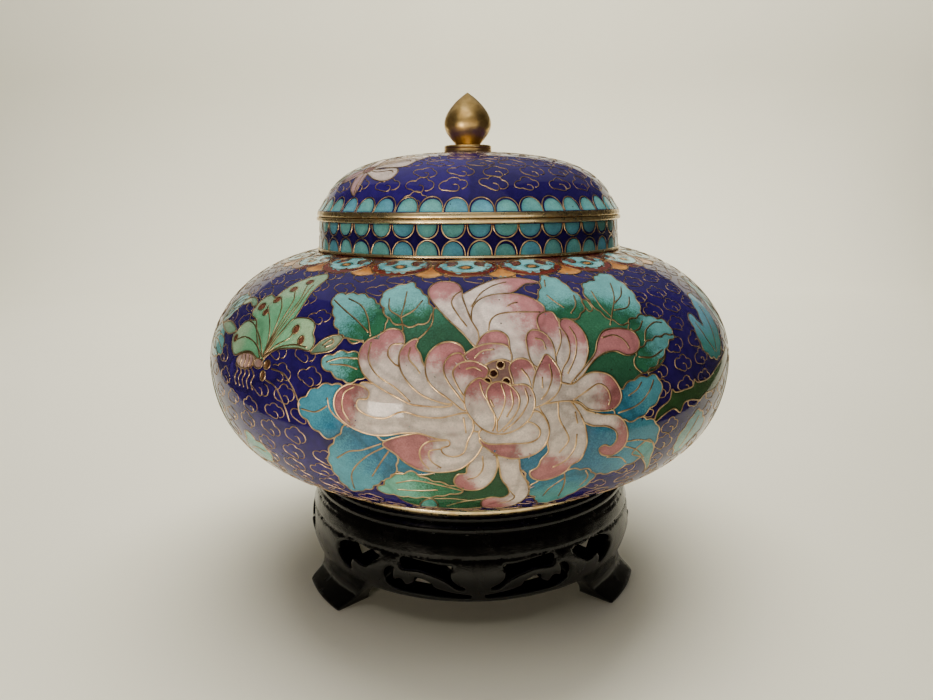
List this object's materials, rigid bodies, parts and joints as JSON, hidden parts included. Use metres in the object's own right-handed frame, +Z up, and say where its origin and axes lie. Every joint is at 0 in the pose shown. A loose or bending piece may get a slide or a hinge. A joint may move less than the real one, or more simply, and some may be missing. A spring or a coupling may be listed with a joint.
{
  "type": "cloisonne ginger jar",
  "caption": "Squat round jar of wire-set enamel on copper with a domed lid, gilt rims and a pointed brass knob, resting on a pierced black wooden stand.",
  "frame": {"origin": "on the jar's axis, on the surface that the stand's feet rest on", "axes": "+Z up along the jar's axis, -Y towards the side with the large flower, +X to the right seen from there"},
  "size_m": [0.18, 0.18, 0.17],
  "materials": {
    "enamel": "fired and polished glass enamel, cobalt ground with a flower picture",
    "gilt_wire": "flat copper wire, polished flush and gilt",
    "gilt_rim": "gilt, satin with fine turning lines",
    "turned_brass": "lathe turned, satin with fine turning lines",
    "lacquered_wood": "carved hardwood under black lacquer, glossy with soft pores"
  },
  "bodies": {
    "root": {"stand": "lacquered_wood", "foot_rim": "gilt_rim", "jar_body": "enamel", "mouth_rim": "gilt_rim", "lid_rim": "gilt_rim", "lid": "enamel", "knob_disc": "turned_brass", "knob": "turned_brass"}
  },
  "joints": []
}
